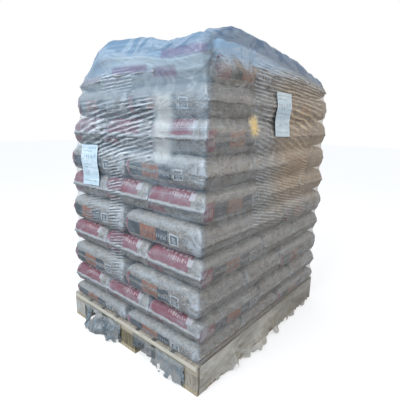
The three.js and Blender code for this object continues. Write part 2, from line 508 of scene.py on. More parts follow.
def fillSack(sack, restKey, pressure):
    form = sackForm
    modifier = sack.modifiers.new("filling", "CLOTH")
    cloth = modifier.settings
    cloth.quality = 6
    cloth.mass = 0.15
    cloth.tension_stiffness = 20
    cloth.compression_stiffness = 20
    cloth.shear_stiffness = 8
    cloth.bending_stiffness = 0.05
    cloth.tension_damping = 8
    cloth.compression_damping = 8
    cloth.shear_damping = 6
    cloth.use_pressure = True
    cloth.uniform_pressure_force = pressure
    cloth.effector_weights.gravity = 0
    cloth.rest_shape_key = restKey
    modifier.collision_settings.use_collision = True
    modifier.collision_settings.distance_min = 0.002
    modifier.collision_settings.use_self_collision = False
    before = pointsOf(sack.data)
    for frameNumber in range(1, form["frames"] + 1):
        bpy.context.scene.frame_set(frameNumber)
    filled = sack.evaluated_get(bpy.context.evaluated_depsgraph_get())
    after = pointsOf(filled.data).copy()
    bpy.context.scene.frame_set(1)
    step = after - before
    reach = np.linalg.norm(step, axis=1, keepdims=True)
    step *= np.minimum(1, form["cap"] / np.maximum(reach, 1e-9))
    sack.modifiers.remove(modifier)
    sack.shape_key_clear()
    setPoints(sack.data, before + step)


def addSealStrips(sack, flatPoints):
    # Back in its flat shape, the edge between the two sheets is drawn out twice at
    # both ends, which gives the mesh its seals
    mesh = sack.data
    filled = pointsOf(mesh).copy()
    setPoints(mesh, flatPoints)
    selectFaces(sack, lambda face: abs(face.normal.x) > 0.9)
    for _ in range(2):
        bpy.ops.mesh.extrude_region_move(TRANSFORM_OT_translate={"value": (0, 0, 0)})
        bpy.ops.transform.resize(value=(1.1, 1, 1), center_override=(0, 0, 0))
    bpy.ops.object.mode_set(mode="OBJECT")
    layPrintMap(sack)
    shapeSeals(mesh, filled)


def shapeSeals(mesh, filled):
    form = sackForm
    share = pointsOf(mesh).copy()
    count = len(filled)
    points = share.copy()
    points[:count] = filled
    upper = share[:, 2] > 0.5
    for side in (-1, 1):
        atEnd = np.abs(share[:count, 0] - side) < 1e-4
        rows = []
        for sheet in (upper, ~upper):
            row = np.nonzero(atEnd & sheet[:count])[0]
            rows.append(filled[row[np.argsort(share[row, 1])]])
        middle = (rows[0] + rows[1]) / 2
        for _ in range(4):
            middle[1:-1] = (middle[:-2] + 2 * middle[1:-1] + middle[2:]) / 4
        out = np.abs(middle[:, 0])
        columns = np.linspace(-1, 1, len(middle))
        sway = 0.002 * np.sin(columns * 9 + side) + 0.0012 * np.sin(columns * 23)
        for new in np.nonzero(share[:, 0] * side > 1.05)[0]:
            column = int(round((share[new, 1] + 1) / 2 * (len(middle) - 1)))
            isTip = abs(share[new, 0]) > 1.15
            skin = (0.5 if upper[new] else -0.5) * form["sealThickness"]
            stand = form["sealStand"] * (1.0 if isTip else 0.7) + (sway[column] if isTip else 0)
            drop = form["sealDrop"] if isTip else 0.002
            if isTip:
                place = (side * (out[column] + stand + skin), middle[column, 1], middle[column, 2] - drop)
            else:
                place = (side * (out[column] + stand), middle[column, 1], middle[column, 2] - drop + 2 * skin)
            points[new] = place
    setPoints(mesh, points)


def makeSackMasters():
    room = makeRoom()
    made, sizes = [], []
    for seed, pressure in enumerate(sackForm["pressures"]):
        sack = makeFlatSack(seed)
        flatPoints = pointsOf(sack.data).copy()
        restKey = shapeKeys(sack, seed)
        fillSack(sack, restKey, pressure)
        sizes.append(np.ptp(pointsOf(sack.data), axis=0))
        addSealStrips(sack, flatPoints)
        made.append(sack)
    bpy.data.objects.remove(room)
    return made, sizes


masters, filledSizes = makeSackMasters()
print("sacks filled")

# Layout of the load, as in the model: seven sacks to a layer, turned by half a
# turn from one layer to the next, squashed in the lowest layers and leaning a little

load = {
    "deckTop": 0.144,
    "heights": (0.088, 0.118, 0.140, 0.134, 0.144, 0.140, 0.136, 0.150, 0.132, 0.158),
    "length": 1.200,
    "width": 1.000,
    "topShrink": 0.055,
    "lean": (0.0135, -0.016),  # for each unit of height
    "endRoom": 0.003,  # how far a sack's end stays inside its place, for its seal
    "wander": 0.004,  # how far a sack lies off its place
    "turn": 0.7,  # degrees
    "press": 0.001,  # how far sacks that lie on one another press together
    "tuck": (0.018, 0.060),  # how far the far left corner is drawn in, low down and at the top
    "tuckFrom": (0.30, -0.20, 0.98),  # y, x and z where that begins, and where it is complete
    "tuckTo": (0.50, -0.58, 1.32),
    "dome": (0.18, 0.24),  # by what share of half its height a top sack falls to its ends and sides
    "ends": {0: (0.020, 0.93)},  # top sacks that lie further along, and are shorter
    # how far the print lies along the sacks in each layer, and strays from that
    "printShift": (-0.035, 0.095, -0.035, 0.040, -0.075, 0.020, -0.055, 0.010, -0.025, 0.100),
    "printStray": 0.006,
    "printDrop": 0.026,  # across the sides of the top sacks
    # what share of its height each sack of the top layer sags by, and towards which side
    "slumps": {
        0: (-0.22, (-1, 0)), 1: (0.22, (-1, 0.3)), 2: (0.62, (-1, 0.8)),
        4: (0.4, (0, 1)), 5: (0.42, (1, -0.6)), 6: (0.6, (1, 1)),
    },
}


def layerBase(index):
    return load["deckTop"] + sum(load["heights"][:index])


def layerScale(index):
    return 1 - load["topShrink"] * (index / (len(load["heights"]) - 1)) ** 4


def layerShift(index):
    rise = layerBase(index) + load["heights"][index] / 2 - load["deckTop"]
    return load["lean"][0] * rise, load["lean"][1] * rise


def sackPlaces(index):
    # (x, y, size along the sack, size across it, turn about Z) of each sack
    length, width, sackLength = load["length"], load["width"], sackForm["length"]
    side = 1 if index % 2 == 1 else -1
    scale = layerScale(index)
    shiftX, shiftY = layerShift(index)
    endWidth = (length - sackLength) / 2
    places = []
    for i in range(3):
        places.append((side * (sackLength - length) / 2, (i - 1) * width / 3, sackLength, width / 3, 0.0))
    for column in range(2):
        for row in range(2):
            x = side * (-length / 2 + sackLength + (column + 0.5) * endWidth)
            places.append((x, (row - 0.5) * width / 2, width / 2, endWidth, -math.pi / 2))
    return [
        (x * scale + shiftX, y * scale + shiftY, along * scale, across * scale, turn)
        for x, y, along, across, turn in places
    ]


def smoothStep(value, low, high):
    t = np.clip((value - low) / (high - low), 0, 1)
    return t * t * (3 - 2 * t)


def slump(points, number, height):
    if number not in load["slumps"]:
        return points
    amount, way = load["slumps"][number]
    way = np.array(way) / np.linalg.norm(way)
    reach = points[:, :2] @ way
    towards = smoothStep(reach, -0.10, reach.max())
    above = points[:, 2] + height / 2
    points[:, 2] = above * (1 - amount * towards) - height / 2
    return points


def tuckCorner(points):
    # The film has drawn the far left corner of the load in
    low, high = load["tuck"]
    (fromY, fromX, fromZ), (toY, toX, toZ) = load["tuckFrom"], load["tuckTo"]
    near = smoothStep(points[:, 1], fromY, toY) * smoothStep(-points[:, 0], -fromX, -toX)
    points[:, 1] -= near * (low + (high - low) * smoothStep(points[:, 2], fromZ, toZ))
    return points


def domeTop(points, height):
    # A sack with nothing on it stays crowned
    half = height / 2
    acrossX = np.clip(np.abs(points[:, 0]) / (sackForm["length"] / 2), 0, 1)
    acrossY = np.clip(np.abs(points[:, 1]) / (sackForm["width"] / 2), 0, 1)
    fall = load["dome"][0] * acrossX ** 3 + load["dome"][1] * acrossY ** 3
    above = np.clip((points[:, 2] + 0.25 * half) / half, 0, 1)
    points[:, 2] -= half * fall * above
    return points


def fitPrint(mesh, mirrored, shift, drop=0.0):
    # The print reads the same way round on a mirrored sack, and the bands along
    # the sides lie a little further along or back, as the film was drawn
    printMap = mesh.uv_layers["printMap"]
    places = np.empty(len(mesh.loops) * 2, dtype=np.float32)
    printMap.uv.foreach_get("vector", places)
    places = places.reshape(-1, 2)
    u, v = places[:, 0].copy(), places[:, 1]
    if mirrored:
        places[:, 1] = np.where(v <= 1, 1 - v, 3 - v)
    endReach = sackPrint["endReach"]
    nearFold = 1 - smoothStep(np.abs((v + 0.5) % 1.0 - 0.5), *sackPrint["foldReach"])
    alongSide = smoothStep(u, 0.0, endReach) * (1 - smoothStep(u, 1.0 - endReach, 1.0))
    places[:, 0] = u - shift * nearFold * alongSide
    atMiddleFold = (v > 0.5) & (v < 1.5)
    places[:, 1] += np.where(atMiddleFold, -drop, drop) * nearFold * alongSide
    # a copied mesh shares its map with the others until it gets one of its own
    mesh.uv_layers.remove(printMap)
    mesh.uv_layers.new(name="printMap").uv.foreach_set("vector", places.ravel())


def makeSack(index, number, place, material):
    x, y, along, across, turn = place
    rng = np.random.default_rng(index * 10 + number)
    height = load["heights"][index]
    kind = (index * 7 + number * 3 + index // 3) % len(masters)
    mesh = masters[kind].data.copy()
    sack = bpy.data.objects.new(f"sack_{index + 1:02d}_{number + 1}", mesh)
    bpy.context.collection.objects.link(sack)
    points = pointsOf(mesh)
    mirrored = rng.random() < 0.5
    endRoom = load["endRoom"]
    isTop = index == len(load["heights"]) - 1
    further, shorter = load["ends"].get(number, (0, 1)) if isTop else (0, 1)
    size = np.array([(along - 2 * endRoom) * shorter, across, height + load["press"]]) / filledSizes[kind]
    points *= size * ([1, -1, 1] if mirrored else [1, 1, 1])
    if isTop:
        points = domeTop(points, height)
    turn += math.radians(load["turn"]) * rng.uniform(-1, 1)
    cos, sin = math.cos(turn), math.sin(turn)
    points[:, :2] = points[:, :2] @ np.array([[cos, sin], [-sin, cos]])
    if isTop:
        points = slump(points, number, height)
    wander = rng.uniform(-1, 1, 3) * load["wander"] * np.array([1, 1, 0.4])
    points += np.array([x + further, y, layerBase(index) + height / 2]) + wander
    setPoints(mesh, tuckCorner(points))
    if mirrored:
        mesh.flip_normals()
    printShift = load["printShift"][index] + load["printStray"] * rng.uniform(-1, 1)
    fitPrint(mesh, mirrored, printShift, load["printDrop"] if isTop else 0)
    mesh.materials.clear()
    mesh.materials.append(material)
    mesh.polygons.foreach_set("use_smooth", [True] * len(mesh.polygons))
    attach(sack, "root")
    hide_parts(f"sack_layer_{index + 1:02d}")
    return sack


# The sack's finish: pellets behind clear film, with printed panels. Along the
# sack u runs from 0 at the printed end to 1, and across its sheets v from 0 to 2.

sackPrint = {
    "crimson": (0.225, 0.016, 0.036, 1),
    "slate": (0.016, 0.022, 0.030, 1),
    "orange": (0.30, 0.095, 0.030, 1),
    "navy": (0.010, 0.014, 0.024, 1),
    "white": (0.74, 0.78, 0.82, 1),
    "pale": (0.60, 0.50, 0.50, 1),
    "paper": (0.52, 0.49, 0.51, 1),
    "clear": (0.60, 0.64, 0.69, 1),
    # a paler tone: painted highlight on the sacks' shoulders that face the key light
    "paintedHighlight": (0.62, 0.62, 0.59, 1),
    "code": (0.045, 0.075, 0.060, 1),
    "codeRows": 0.915,  # u of the first of three rows of small blocks
    "strength": 0.94,
    "band": (-0.086, 0.036),  # how far the side band reaches below and above the fold
    "bandEdges": (0.0, 0.150, 0.32, 0.52, 0.66, 0.68, 0.78),
    "foldReach": (0.13, 0.20),  # how far from the folds the bands can shift, in v
    "endReach": 0.12,  # over which u the shift fades towards the ends
    "endPanel": (0.006, 0.138, 0.275, 0.965),  # lowest and highest u, then v
    "tag": (0.044, 0.100, 0.235, 0.312),
    "lowerPatch": (0.03, 0.085, 1.06, 1.34),
}


def paint(coat, mask, colour, strength):
    coat.colour = mixColour(times(mask, strength), coat.colour, colour)


def printPatch(coat, box, colour, strength=sackPrint["strength"]):
    paint(coat, patchMask(coat.u, coat.v, box), colour, strength)


def printBlocks(coat, along, across, count, seed, colour, strength):
    # along and across are each an axis and its range
    paint(coat, blockMask(*along, *across, count, seed), colour, strength)


def printSide(coat, fold, way):
    # One long side, whose fold between the sheets is v = 0 or v = 1
    ink = sackPrint
    u, v = coat.u, coat.v
    edges = ink["bandEdges"]
    low, high = sorted(fold + way * reach for reach in ink["band"])
    printPatch(coat, (edges[0], edges[1], low - 0.022, high + 0.022), ink["crimson"])
    printPatch(coat, (edges[1], edges[2], low, high), ink["slate"])
    printPatch(coat, (edges[2], edges[3], low, high), ink["orange"])
    printPatch(coat, (edges[3], edges[4], low, high), ink["navy"])
    printPatch(coat, (edges[5], edges[6], low + 0.01, high - 0.016), ink["white"], 0.6)
    printPatch(coat, (edges[5] + 0.012, edges[6] - 0.012, low + 0.022, high - 0.028), ink["slate"])
    printBlocks(coat, (u, (0.015, 0.135)), (v, (low + 0.01, high - 0.02)), 5, 3, ink["pale"], 0.6)
    printBlocks(coat, (u, (0.34, 0.50)), (v, (low + 0.02, high - 0.03)), 5, 15, ink["slate"], 0.55)
    printBlocks(coat, (u, (0.53, 0.65)), (v, (low + 0.03, high - 0.03)), 6, 21, ink["white"], 0.45)
    whiteRow = edges[5] + 0.02, edges[6] - 0.02
    printBlocks(coat, (v, (low + 0.02, high - 0.02)), (u, whiteRow), 7, 33, ink["white"], 0.6)
    for row in range(3):
        start = ink["codeRows"] + row * 0.014
        printBlocks(coat, (v, (low, high)), (u, (start, start + 0.010)), 9, 43 + 7 * row, ink["code"], 0.5)


def printEnd(coat):
    # The end panel and its white tag, and the patch on the lower half of the end
    ink = sackPrint
    printPatch(coat, ink["endPanel"], ink["crimson"])
    printBlocks(coat, (coat.v, (0.60, 0.28)), (coat.u, (0.052, 0.088)), 9, 41, ink["pale"], 0.6)
    printBlocks(coat, (coat.v, (0.74, 0.26)), (coat.u, (0.096, 0.128)), 7, 57, ink["pale"], 0.55)
    printPatch(coat, ink["tag"], ink["paper"])
    printPatch(coat, ink["lowerPatch"], ink["crimson"], 0.7)


def clearCorners(coat, creases):
    # Clear crumpled film at the corners and the seals, with no pellets behind it
    clear = sackPrint["clear"]
    nearEnd = calc("MINIMUM", times(coat.u, 1.8), minus(1.0, coat.u))
    fromFold = calc("PINGPONG", calc("ABSOLUTE", coat.v), 0.5)
    reach = calc("SQRT", plus(times(nearEnd, nearEnd), times(fromFold, fromFold)))
    crumple = remap(plus(reach, times(creases, -0.03)), 0.03, 0.16, 0.9, 0.0)
    paint(coat, times(crumple, remap(creases, 0.0, 0.8, 0.35, 1.0)), clear, 0.8)
    paint(coat, calc("LESS_THAN", coat.u, -0.001), clear, 0.35)


def makeSackMaterial():
    material, tree, surface = startMaterial("sackFilm")
    place = objectPoint(tree)
    _, u, v = printPlace(tree)
    fill = useGroup(pelletGroup, Vector=place)
    creases = useGroup(creaseGroup, Vector=place, Scale=14.0)["Height"]
    facingX, _, facingZ = facing(tree)
    # painted highlight: the pellet colour turns paler where the sack faces up and towards the key light on
    # the left
    litFacing = timesPlus(facingX, -0.45, times(facingZ, 0.8))
    litFacing = times(remap(litFacing, 0.40, 0.85), 0.20)
    coat = SimpleNamespace(u=u, v=calc("WRAP", v, 1.5, -0.5))
    coat.colour = mixColour(litFacing, fill["Color"], sackPrint["paintedHighlight"])
    printSide(coat, 0.0, 1)
    printSide(coat, 1.0, -1)
    printEnd(coat)
    clearCorners(coat, creases)
    pellets = bump(fill["Height"], 0.22, 0.0015)
    finish(surface, {
        "Base Color": coat.colour,
        "Roughness": 0.40,
        "Coat Weight": 0.35,
        "Coat Roughness": 0.22,
        "Normal": bump(creases, 0.4, 0.004, pellets),
    })
    return material


sackMaterial = makeSackMaterial()
sacks = [
    makeSack(index, number, place, sackMaterial)
    for index in range(len(load["heights"]))
    for number, place in enumerate(sackPlaces(index))
]
for master in masters:
    bpy.data.objects.remove(master)
print("load stacked")

# Stretch film: a closed sleeve and hood drawn in from an outer shape until it lies
# taut over the sacks, bridging the gaps between them

filmForm = {
    "columns": 384,
    "sideRows": 148,
    "edgeRows": 15,
    "topRows": 30,
    "bottom": 0.102,
    "margin": 0.034,  # how far the outer shape stands off the load
    "corner": 0.085,
    "edge": 0.09,  # radius of the outer shape's top edge
    "headroom": (0.072, 0.110),  # how far the outer shape stands off the hood, at its rim and inside
    "tilt": (12, 36),  # over how many of the upper rows, and by how many degrees, the way in turns down
    "search": 0.30,  # how far in the load is looked for
    "most": 0.11,  # how far the sides can be drawn in
    "clearance": 0.0016,
    "pull": 0.00042,
    "sideways": 0.35,  # share of the tension that runs round the load
    "steps": (8, 4, 2, 1),  # from a coarse grid to the full one
    "rounds": 160,  # on each of these
    "folds": 0.005,
    # gathers in the hood: how tightly the folds follow one another, how far and how often
    # they bend, where the bends start, how much they shift from row to row, and their share
    "gathers": ((38, 2.2, 9, 0, 0.06, 1.0), (71, 1.7, 13, 1, -0.10, 0.6)),
    "deckReach": 0.0012,  # off the edge of the deck, where the film is wound round it
    "deckBand": 0.008,  # up to how far above the deck it follows that edge
}

# The gathered hood. Its heights are (x, y, z) over the top sacks: the first rows run along
# its left and front crests, and the others over its inside and down to its far sides

hoodForm = {
    "spread": 0.035,  # over how far the heights blend
    "rimLevel": 1.45,  # where the outline of its rim is taken
    "middleReach": 0.96,  # how much of half the load's width its rows cross
    "search": (0.29, 0.006),  # how far in its surface is looked for, and in what steps
    "rimX": (-0.575, 0.585),
    "rimY": (-0.492, 0.475),
    "rimFarLeft": 0.935,  # y - x, where the rim cuts the far left corner
    "rimDrop": 0.075,
    "rimWidth": 0.05,
    "heights": (
        (-0.51, -0.406, 1.497), (-0.51, -0.339, 1.497), (-0.51, -0.262, 1.490), (-0.51, -0.215, 1.507),
        (-0.51, -0.13, 1.522), (-0.51, -0.06, 1.530), (-0.51, 0.02, 1.537), (-0.51, 0.10, 1.542),
        (-0.51, 0.17, 1.540), (-0.51, 0.225, 1.508), (-0.51, 0.295, 1.440), (-0.51, 0.36, 1.396),
        (-0.503, -0.42, 1.505), (-0.434, -0.42, 1.537), (-0.353, -0.42, 1.552), (-0.297, -0.42, 1.551),
        (-0.20, -0.42, 1.547), (-0.102, -0.42, 1.541), (-0.04, -0.42, 1.531), (0.013, -0.42, 1.523),
        (0.09, -0.42, 1.516), (0.163, -0.42, 1.509), (0.221, -0.42, 1.506), (0.287, -0.42, 1.486),
        (0.39, -0.42, 1.466), (0.50, -0.42, 1.444), (-0.38, -0.20, 1.515), (-0.36, 0.10, 1.530),
        (-0.36, 0.22, 1.490), (-0.36, 0.34, 1.405), (-0.15, -0.20, 1.515), (-0.12, 0.05, 1.515),
        (-0.10, 0.25, 1.455), (-0.08, 0.38, 1.420), (0.12, -0.20, 1.490), (0.14, 0.05, 1.490),
        (0.16, 0.25, 1.450), (0.16, 0.38, 1.420), (0.36, -0.20, 1.455), (0.38, 0.05, 1.450),
        (0.38, 0.25, 1.425), (0.38, 0.38, 1.400), (0.50, -0.20, 1.420), (0.50, 0.05, 1.415),
        (0.50, 0.28, 1.395),
    ),
}

# Where the back, left, front and right face end on the way round the load
faceEnds = np.round(np.cumsum([0, load["length"], load["width"], load["length"], load["width"]]), 3)
wayRound = faceEnds[-1]


def filmRings(share, inset, middle, half, corner):
    # Points and outward directions on nested rectangles with round corners. share is the
    # way round the load in metres: back, left, front and right face in turn
    starts = np.array([[1, 1], [-1, 1], [-1, -1], [1, -1]])
    ways = np.array([[-1, 0], [0, -1], [1, 0], [0, 1]])
    outs = np.array([[0, 1], [-1, 0], [0, -1], [1, 0]])
    face = np.clip(np.searchsorted(faceEnds, share, side="right") - 1, 0, 3)
    t = (share - faceEnds[face]) / (faceEnds[face + 1] - faceEnds[face])
    size = half - inset[:, None]
    radius = np.minimum(corner, size.min(axis=1))
    way, out = ways[face], outs[face]
    sharp = starts[face] * size + 2 * t[:, None] * size * np.abs(way) * way
    # near the end of a face the point goes round the corner's arc
    core = size - radius[:, None]
    inner = np.clip(sharp, -core, core)
    past = sharp - inner
    far = np.linalg.norm(past, axis=1)
    safe = np.maximum(far, 1e-9)[:, None]
    direction = np.where(far[:, None] > 1e-9, past / safe, out)
    point = inner + direction * radius[:, None]
    return point + middle, direction


def ringAt(share, z, inset):
    # The outer shape's points and outward directions at the heights z, or inset from them
    stackTop = layerBase(len(load["heights"]))
    level = np.clip((z - load["deckTop"]) / (stackTop - load["deckTop"]), 0, 1)
    rise = np.clip(z, load["deckTop"], stackTop) - load["deckTop"]
    middle = np.stack([load["lean"][0] * rise, load["lean"][1] * rise], 1)
    half = np.array([load["length"], load["width"]]) / 2
    size = half * (1 - load["topShrink"] * level ** 4)[:, None] + filmForm["margin"]
    return filmRings(share, inset, middle, size, filmForm["corner"])


def filmHull():
    # Points of the outer shape and the directions in which the film is drawn in
    form = filmForm
    sides, edges, tops = form["sideRows"], form["edgeRows"], form["topRows"]
    share = np.linspace(0, wayRound, form["columns"] + 1)
    flat = np.zeros(len(share))
    rim, _ = ringAt(share, flat + hoodForm["rimLevel"], flat + form["edge"])
    rimTop = hoodHeight(rim) + form["headroom"][0]
    for _ in range(6):
        rimTop[:-1] = (np.roll(rimTop[:-1], 1) + rimTop[:-1] + np.roll(rimTop[:-1], -1)) / 3
    rimTop[-1] = rimTop[0]
    arcStart = rimTop - form["edge"]
    tiltRows, tilt = form["tilt"][0], math.radians(form["tilt"][1])
    topReach = load["width"] / 2 * hoodForm["middleReach"] - form["edge"]
    points = np.empty((sides + edges + tops + 1, len(share), 3))
    inward = np.zeros_like(points)
    for row in range(len(points)):
        past = row - sides - edges
        tip = math.pi / 2 * min(max(row - sides, 0) / edges, 1)
        way = tilt * smoothStep(row, sides - tiltRows, sides) + tip * (1 - tilt / (math.pi / 2))
        if row <= sides:
            z = form["bottom"] + (arcStart - form["bottom"]) * row / sides
        else:
            z = arcStart + form["edge"] * math.sin(tip)
        inset = flat + form["edge"] * (1 - math.cos(tip))
        if past > 0:
            inset += topReach * past / tops
        at, out = ringAt(share, z, inset)
        if past > 0:
            middle = np.array([at[:, 0], np.full(len(at), at[:, 1].mean())]).T
            if past == tops:
                at = middle
            blend = smoothStep(past, 0, 6)
            z = z * (1 - blend) + (hoodHeight(at) + form["headroom"][1]) * blend
        points[row] = np.column_stack([at, z])
        inward[row] = np.column_stack([-out * math.cos(way), flat - math.sin(way)])
    return points, inward


def roomToLoad(points, inward):
    # How far each point of the outer shape can be drawn in before it meets the load
    form = filmForm
    tree = searchTree(sacks)
    reach = np.full(points.shape[:2], form["search"])
    for row in range(points.shape[0]):
        for column in range(points.shape[1] - 1):
            hit = tree.ray_cast(Vector(points[row, column]), Vector(inward[row, column]), form["search"])
            if hit[0] is not None:
                reach[row, column] = hit[3]
    reach[:, -1] = reach[:, 0]
    reach -= form["clearance"]
    deck = np.array([load["length"], load["width"]]) / 2 + form["deckReach"]
    low = points[..., 2] < load["deckTop"] + form["deckBand"]
    outside = np.abs(points[..., :2]) - deck
    speed = np.maximum(np.abs(inward[..., :2]), 1e-6)
    toDeck = np.where(outside > 0, outside / speed, 0).max(axis=2)
    return np.where(low, np.minimum(reach, toDeck), reach)


def hoodHeight(at):
    form = hoodForm
    known = np.array(form["heights"])
    gap = ((at[..., None, :2] - known[:, :2]) ** 2).sum(axis=-1)
    gap -= gap.min(axis=-1, keepdims=True)
    weight = np.exp(-gap / (2 * form["spread"] ** 2))
    height = (weight * known[:, 2]).sum(axis=-1) / weight.sum(axis=-1)
    x, y = at[..., 0], at[..., 1]
    pastEnds = np.maximum(form["rimX"][0] - x, x - form["rimX"][1])
    pastSides = np.maximum(form["rimY"][0] - y, y - form["rimY"][1])
    pastCorner = (y - x - form["rimFarLeft"]) * 0.7
    for past in (np.maximum(pastEnds, pastCorner), pastSides):
        fall = np.maximum(past + form["rimWidth"], 0) / form["rimWidth"]
        height = height - form["rimDrop"] * fall ** 2
    return height


def hoodLimit(points, inward):
    # How far the film can be drawn in before it reaches the height of the hood
    limit = np.full(points.shape[:2], filmForm["search"])
    furthest, step = hoodForm["search"]
    for reach in np.arange(furthest, 0.0, -step):
        at = points + inward * reach
        limit = np.where(at[..., 2] < hoodHeight(at), reach, limit)
    return limit


def drawIn(points, inward):
    form = filmForm
    limit = roomToLoad(points, inward)
    hood = form["sideRows"]
    limit[:hood] = np.minimum(limit[:hood], form["most"])
    over = hood - form["tilt"][0] // 2
    limit[over:] = np.minimum(limit[over:], hoodLimit(points[over:], inward[over:]))
    limit = limit[:, :-1]
    depth = np.zeros((1, 1))
    for step in form["steps"]:
        coarse = limit[::step, ::step]
        depth = np.repeat(np.repeat(depth, 2, axis=0), 2, axis=1)
        depth = np.resize(depth, coarse.shape) if step == form["steps"][0] else depth[:coarse.shape[0]]
        for _ in range(form["rounds"]):
            side = (np.roll(depth, 1, axis=1) + np.roll(depth, -1, axis=1)) / 2
            below = np.vstack([depth[:1], depth[:-1]])
            above = np.vstack([depth[1:], depth[-1:]])
            level = side * form["sideways"] + (below + above) / 2 * (1 - form["sideways"])
            depth = np.minimum(coarse, level + form["pull"] * step ** 2)
    depth = addGathers(depth)
    return np.hstack([depth, depth[:, :1]])


def addGathers(depth):
    # They run up into the hood and stand off the sacks
    form = filmForm
    hood = form["sideRows"]
    around = np.linspace(0, wayRound, form["columns"] + 1)[:-1][None, :]
    row = np.arange(len(depth))[:, None]
    onHood = smoothStep(row, hood - 6, hood + 10)
    gather, most = 0, 0
    for pitch, bend, sway, start, climb, share in form["gathers"]:
        bent = bend * np.sin(around * sway + start)
        gather = gather + share * np.sin(around * pitch + bent + row * climb)
        most += share
    fade = 1 - smoothStep(row, hood + 24, len(depth) - 6)
    return depth - form["folds"] * (1 + gather / most) / 2 * onHood * fade


def makeFilm(material):
    form = filmForm
    points, inward = filmHull()
    depth = drawIn(points, inward)
    places = points + inward * depth[..., None]
    climb = np.linalg.norm(np.diff(points, axis=0), axis=2)
    height = form["bottom"] + np.vstack([np.zeros_like(climb[:1]), np.cumsum(climb, axis=0)])
    # the two sides of the last ring meet in one line along the middle of the top
    last = places[-1]
    keys = np.round(last[:, 0], 3)
    for key in np.unique(keys):
        last[keys == key] = last[keys == key].mean(axis=0)
    rows, columns = points.shape[0] - 1, points.shape[1] - 1
    film = addGrid("filmWrap", columns, rows)
    mesh = film.data
    column, row = gridPlaces(mesh, columns, rows)
    corner = cornersOf(mesh)
    # u is the way round the load in metres, v the way up the film in metres
    setMap(mesh, column[corner] / columns * wayRound, height[row[corner], column[corner]])
    setPoints(mesh, places[row, column])
    bpy.ops.object.mode_set(mode="EDIT")
    bpy.ops.mesh.select_all(action="SELECT")
    bpy.ops.mesh.remove_doubles(threshold=0.00002)
    bpy.ops.mesh.select_all(action="SELECT")
    bpy.ops.mesh.normals_make_consistent(inside=False)
    bpy.ops.object.mode_set(mode="OBJECT")
    bpy.ops.object.shade_smooth()
    mesh.materials.append(material)
    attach(film, "root")
    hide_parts("stretch_wrap")
    return film


# Rippled, hazy and clear patches of the film: (lowest u, highest u, lowest v, highest v,
# softness, strength). u is 1.2 to 2.2 on the left face and 2.2 to 3.4 on the front one.

filmLook = {
    # painted light: the film's cool blue tint where sky light falls, on the left face
    "cool": (0.325, 0.425, 0.505, 1),
    "grey": (0.395, 0.395, 0.38, 1),
    "blue": (0.31, 0.46, 0.62, 1),
    "blueFront": (0.335, 0.53, 0.74, 1),
    # painted shade: a darker blue where the hood faces up on the left
    "blueAbove": (0.125, 0.235, 0.36, 1),
    "slate": (0.062, 0.138, 0.250, 1),
    # painted light where the film faces down below the hood's rim
    "under": (0.64, 0.80, 0.90, 1),
    "print": (0.20, 0.085, 0.22, 1),
    "shoulder": (0.60, 0.64, 0.65, 1),
    # painted warm reflection over the front face
    "warm": (0.52, 0.38, 0.24, 1),
    # whiter film: partly its own whitening, partly painted highlight on streaks, creases and ripple crests
    "white": (0.74, 0.80, 0.84, 1),
    # painted shade in the ripples' troughs
    "dark": (0.018, 0.022, 0.028, 1),
    "pale": (0.50, 0.53, 0.53, 1),
    # the deck's edge seen through the film, with a painted highlight
    "deck": (0.68, 0.63, 0.52, 1),
    "glint": (0.95, 0.66, 0.20, 1),
    # painted warm highlight on the ripples inside the warm patch
    "warmRipple": (0.70, 0.52, 0.30, 1),
    # low down and high up on the left face, and the same on the front one
    "alphas": (0.11, 0.24, 0.31, 0.27),
    "hoodAlphas": (0.46, 0.10, 0.84),  # beside the top sacks on these two faces, and above them
    "ripples": (
        (1.33, 1.87, 0.99, 1.275, 0.02, 0.9),
        (1.575, 1.67, 0.34, 1.00, 0.015, 0.85),
        (1.49, 1.71, 1.31, 1.40, 0.02, 0.7),
        (1.38, 1.50, 0.65, 0.80, 0.02, 0.6),
        (2.56, 3.28, 1.14, 1.44, 0.012, 0.9),
        (2.60, 3.12, 0.66, 1.14, 0.02, 0.60),
        (0.20, 0.85, 0.80, 1.25, 0.03, 0.6),
        (0.95, 1.10, 0.40, 1.10, 0.03, 0.5),
        (3.62, 4.12, 0.95, 1.32, 0.03, 0.7),
        (3.78, 3.92, 0.40, 0.95, 0.03, 0.5),
    ),
    "deckPatch": (1.17, 2.19, 0.122, 0.145, 0.002),
    "palePatch": (1.880, 1.977, 1.01, 1.29, 0.024),
    "warmPatch": (2.76, 3.44, 0.74, 1.40, 0.14),
    "glintPatch": (2.528, 2.590, 1.125, 1.205, 0.024),
    # the top sacks' print, seen faintly through the hood
    "printPatches": (
        (1.925, 2.175, 1.427, 1.472, 0.008),
        (1.850, 1.985, 1.360, 1.403, 0.008),
        (1.570, 1.820, 1.385, 1.420, 0.008),
    ),
}


def makeRippleGroup():
    # Taut, narrow ripples that fall away from the corner at u = Corner, the steeper
    # the lower they are
    inputs = {"Vector": None, "Pitch": 0.0155, "Corner": 2.2}
    group, given, result = startGroup("tautRipples", inputs, ["Height"])
    u, v, _ = axesOf(given["Vector"])
    slope = remap(v, 0.95, 1.35, 0.24, 0.05)
    away = calc("ABSOLUTE", minus(u, given["Corner"]))
    slanted = timesPlus(away, slope, v)
    stray = noise(stretched(given["Vector"], (5, 16, 1)), 1.0, 2.0)
    slanted = timesPlus(stray, 0.022, slanted)
    turns = times(calc("DIVIDE", slanted, given["Pitch"]), 2 * math.pi)
    wave = calc("SINE", turns)
    patchy = noise(stretched(given["Vector"], (14, 60, 1)), 1.0, 2.0)
    strength = remap(patchy, 0.30, 0.60, 0.15, 1.0)
    feed(timesPlus(times(wave, strength), 0.5, 0.5), result["Height"])
    return group


rippleGroup = makeRippleGroup()


def softPatch(u, v, box, strength=1.0):
    return times(patchMask(u, v, box, soft=box[4]), strength)


